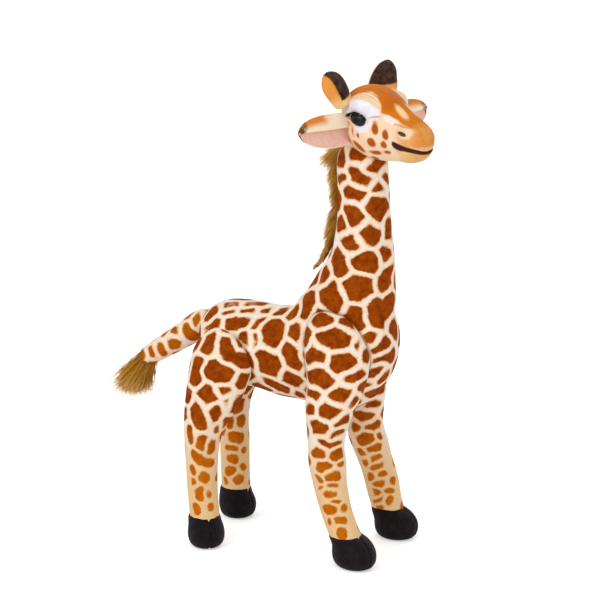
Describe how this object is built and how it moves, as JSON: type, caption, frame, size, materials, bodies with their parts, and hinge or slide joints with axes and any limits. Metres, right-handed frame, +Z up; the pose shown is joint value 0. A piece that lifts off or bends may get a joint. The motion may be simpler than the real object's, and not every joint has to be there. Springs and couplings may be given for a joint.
{
  "type": "plush giraffe",
  "caption": "Standing plush giraffe with patched short-pile skin, golden mane and tail tuft, two-tone horns, cupped ears, black safety eyes and black velvet hooves with flat soles.",
  "frame": {"origin": "on the ground under the middle of the giraffe's bounding box", "axes": "+X from the tail towards the chest, the way the giraffe faces; +Y to the giraffe's left; +Z up"},
  "size_m": [0.3548, 0.1454, 0.4963],
  "materials": {
    "patched_plush": "short pile plush, brown patches on white with cream edges",
    "leg_plush": "short pile plush, cream with small orange brown patches",
    "face_plush": "short pile plush, orange blaze on cream with a white brow",
    "fibre_filling": "loose polyester fibre",
    "long_pile": "long pile plush, golden olive",
    "hoof_velvet": "black brown velvet",
    "horn_brown": "short pile plush, dark brown",
    "horn_orange": "short pile plush, orange",
    "ear_plush": "short pile plush, cream to orange",
    "ear_lining": "brushed pink knit",
    "mouth_felt": "dark maroon felt",
    "dark_thread": "satin stitch thread",
    "eye_plastic": "polished black",
    "washer_plastic": "moulded",
    "lash_felt": "black felt strip",
    "coated_wire": "plastic coated soft iron wire"
  },
  "bodies": {
    "torso": {"torso_cover": "patched_plush", "torso_filling": "fibre_filling"},
    "neck": {"neck_cover": "patched_plush", "neck_filling": "fibre_filling", "neck_wire": "coated_wire", "mane": "long_pile"},
    "head": {"head_cover": "face_plush", "head_filling": "fibre_filling", "mouth_lining": "mouth_felt", "nostril_right": "dark_thread", "nostril_left": "dark_thread", "eye_right": "eye_plastic", "eye_left": "eye_plastic", "eye_washer_right": "washer_plastic", "eye_washer_left": "washer_plastic", "eyelash_right": "lash_felt", "eyelash_left": "lash_felt", "horn_right_front": "horn_brown", "horn_left_front": "horn_brown", "horn_right_back": "horn_orange", "horn_left_back": "horn_orange"},
    "ear_right": {"ear_right_outer": "ear_plush", "ear_right_lining": "ear_lining"},
    "ear_left": {"ear_left_outer": "ear_plush", "ear_left_lining": "ear_lining"},
    "tail": {"tail_cover": "patched_plush", "tail_filling": "fibre_filling", "tail_tuft": "long_pile"},
    "leg_front_right": {"leg_front_right_cover": "leg_plush", "leg_front_right_filling": "fibre_filling", "leg_front_right_wire": "coated_wire", "hoof_front_right": "hoof_velvet"},
    "leg_front_left": {"leg_front_left_cover": "leg_plush", "leg_front_left_filling": "fibre_filling", "leg_front_left_wire": "coated_wire", "hoof_front_left": "hoof_velvet"},
    "leg_rear_right": {"leg_rear_right_cover": "leg_plush", "leg_rear_right_filling": "fibre_filling", "leg_rear_right_wire": "coated_wire", "hoof_rear_right": "hoof_velvet"},
    "leg_rear_left": {"leg_rear_left_cover": "leg_plush", "leg_rear_left_filling": "fibre_filling", "leg_rear_left_wire": "coated_wire", "hoof_rear_left": "hoof_velvet"}
  },
  "joints": [
    {"name": "neck_lean", "type": "hinge", "parent": "torso", "child": "neck", "pos_m": [0.08256, 0.00083, 0.26716], "axis": [0, 1, 0], "range_deg": [-8, 8]},
    {"name": "head_turn", "type": "hinge", "parent": "neck", "child": "head", "pos_m": [0.09329, 0.00083, 0.40516], "axis": [0, 0, 1], "range_deg": [-17, 73]},
    {"name": "ear_right_flap", "type": "hinge", "parent": "head", "child": "ear_right", "pos_m": [0.08024, -0.02381, 0.44191], "axis": [0.4415, -0.2347, 0.866], "range_deg": [-25, 25], "stiffness_Nm_per_rad": 0.02},
    {"name": "ear_left_flap", "type": "hinge", "parent": "head", "child": "ear_left", "pos_m": [0.10642, 0.02543, 0.44191], "axis": [-0.4415, 0.2347, -0.866], "range_deg": [-25, 25], "stiffness_Nm_per_rad": 0.02},
    {"name": "tail_lift", "type": "hinge", "parent": "torso", "child": "tail", "pos_m": [-0.08752, 0.00083, 0.21705], "axis": [0, 1, 0], "range_deg": [-10, 35]},
    {"name": "leg_front_right_swing", "type": "hinge", "parent": "torso", "child": "leg_front_right", "pos_m": [0.08256, -0.04717, 0.22104], "axis": [0, 1, 0], "range_deg": [-12, 12]},
    {"name": "leg_front_left_swing", "type": "hinge", "parent": "torso", "child": "leg_front_left", "pos_m": [0.08256, 0.04883, 0.22104], "axis": [0, 1, 0], "range_deg": [-12, 12]},
    {"name": "leg_rear_right_swing", "type": "hinge", "parent": "torso", "child": "leg_rear_right", "pos_m": [-0.04446, -0.04717, 0.20452], "axis": [0, 1, 0], "range_deg": [-12, 12]},
    {"name": "leg_rear_left_swing", "type": "hinge", "parent": "torso", "child": "leg_rear_left", "pos_m": [-0.04446, 0.04883, 0.20452], "axis": [0, 1, 0], "range_deg": [-12, 12]}
  ]
}
